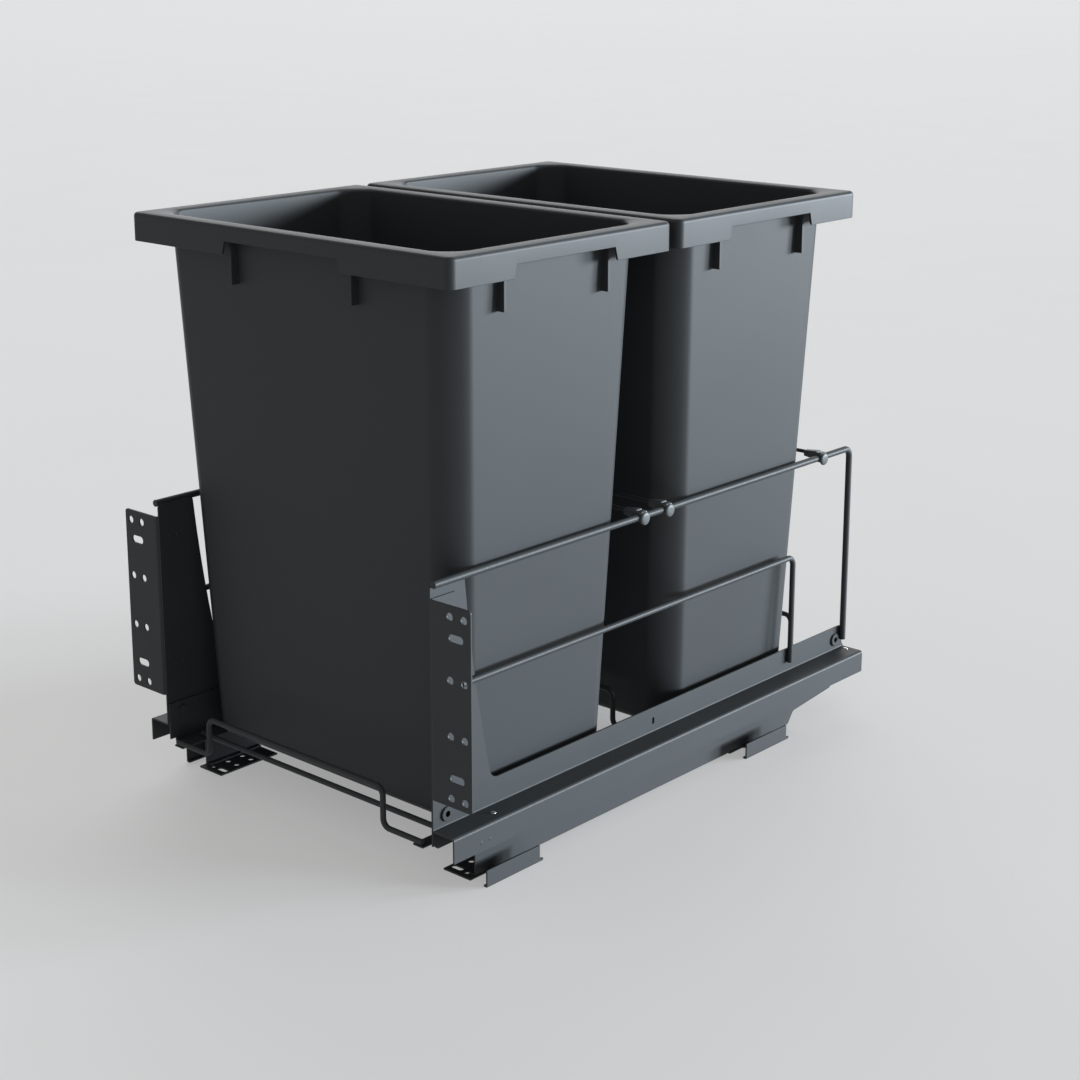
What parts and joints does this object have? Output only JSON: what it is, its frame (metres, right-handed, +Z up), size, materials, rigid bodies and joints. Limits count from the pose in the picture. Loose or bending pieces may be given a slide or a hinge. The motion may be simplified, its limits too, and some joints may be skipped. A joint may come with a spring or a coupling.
{
  "type": "pull out waste bin unit",
  "caption": "Pull-out kitchen waste unit: two lift-out bins stand in a wire and sheet steel carriage on ball slides, with front plates for a cabinet door.",
  "frame": {"origin": "middle of the unit's footprint, on the cabinet floor under its feet", "axes": "+Z up; -Y is the front, where the door plates are, and the way the carriage pulls out; X runs side to side and the unit mirrors in X = 0"},
  "size_m": [0.4138, 0.5644, 0.501],
  "materials": {
    "bin_plastic": "fine moulded texture, dark grey",
    "clip_plastic": "smooth moulded, dark grey",
    "cage_plastic": "smooth moulded, pale grey",
    "coated_steel": "satin powder coat, dark grey",
    "zinc_steel": "zinc-plated"
  },
  "bodies": {
    "base": {"cabinet_rail_right": "coated_steel", "cabinet_rail_left": "coated_steel", "front_foot_right": "coated_steel", "front_foot_left": "coated_steel", "rear_foot_right": "coated_steel", "rear_foot_left": "coated_steel", "slide_outer_right": "zinc_steel", "slide_outer_left": "zinc_steel"},
    "slide_middle_right": {"slide_middle_right": "zinc_steel"},
    "slide_middle_left": {"slide_middle_left": "zinc_steel"},
    "outer_cage_right": {"outer_ball_cage_right": "cage_plastic", "outer_balls_right": "zinc_steel"},
    "outer_cage_left": {"outer_ball_cage_left": "cage_plastic", "outer_balls_left": "zinc_steel"},
    "inner_cage_right": {"inner_ball_cage_right": "cage_plastic", "inner_balls_right": "zinc_steel"},
    "inner_cage_left": {"inner_ball_cage_left": "cage_plastic", "inner_balls_left": "zinc_steel"},
    "carriage": {"side_frame_right": "coated_steel", "side_frame_left": "coated_steel", "door_plate_right": "coated_steel", "door_plate_left": "coated_steel", "floor_runner_right": "coated_steel", "floor_runner_left": "coated_steel", "slide_inner_right": "zinc_steel", "slide_inner_left": "zinc_steel", "top_wire_right": "coated_steel", "top_wire_left": "coated_steel", "lower_wire_right": "coated_steel", "lower_wire_left": "coated_steel", "ring_screws": "zinc_steel", "front_floor_wire": "coated_steel", "middle_floor_wire": "coated_steel", "rear_floor_wire": "coated_steel", "cross_bar_1": "coated_steel", "cross_bar_2": "coated_steel", "cross_bar_3": "coated_steel", "cross_bar_4": "coated_steel", "cross_bar_5": "coated_steel", "divider_rod_1": "coated_steel", "divider_rod_2": "coated_steel", "divider_rod_3": "coated_steel", "divider_clips": "clip_plastic"},
    "front_bin": {"front_bin": "bin_plastic"},
    "rear_bin": {"rear_bin": "bin_plastic"}
  },
  "joints": [
    {"name": "pull_out", "type": "slide", "parent": "base", "child": "carriage", "axis": [0, -1, 0], "range_m": [0, 0.46]},
    {"name": "slide_middle_right_travel", "type": "slide", "parent": "base", "child": "slide_middle_right", "axis": [0, -1, 0], "range_m": [0, 0.23]},
    {"name": "outer_cage_right_travel", "type": "slide", "parent": "base", "child": "outer_cage_right", "axis": [0, -1, 0], "range_m": [0, 0.115]},
    {"name": "inner_cage_right_travel", "type": "slide", "parent": "base", "child": "inner_cage_right", "axis": [0, -1, 0], "range_m": [0, 0.345]},
    {"name": "slide_middle_left_travel", "type": "slide", "parent": "base", "child": "slide_middle_left", "axis": [0, -1, 0], "range_m": [0, 0.23]},
    {"name": "outer_cage_left_travel", "type": "slide", "parent": "base", "child": "outer_cage_left", "axis": [0, -1, 0], "range_m": [0, 0.115]},
    {"name": "inner_cage_left_travel", "type": "slide", "parent": "base", "child": "inner_cage_left", "axis": [0, -1, 0], "range_m": [0, 0.345]},
    {"name": "front_bin_lift", "type": "slide", "parent": "carriage", "child": "front_bin", "axis": [0, 0, 1], "range_m": [0, 0.47]},
    {"name": "rear_bin_lift", "type": "slide", "parent": "carriage", "child": "rear_bin", "axis": [0, 0, 1], "range_m": [0, 0.47]}
  ],
  "couplings": [
    {"joint": "slide_middle_right_travel", "follows": "pull_out", "ratio": 0.5},
    {"joint": "outer_cage_right_travel", "follows": "pull_out", "ratio": 0.25},
    {"joint": "inner_cage_right_travel", "follows": "pull_out", "ratio": 0.75},
    {"joint": "slide_middle_left_travel", "follows": "pull_out", "ratio": 0.5},
    {"joint": "outer_cage_left_travel", "follows": "pull_out", "ratio": 0.25},
    {"joint": "inner_cage_left_travel", "follows": "pull_out", "ratio": 0.75}
  ]
}
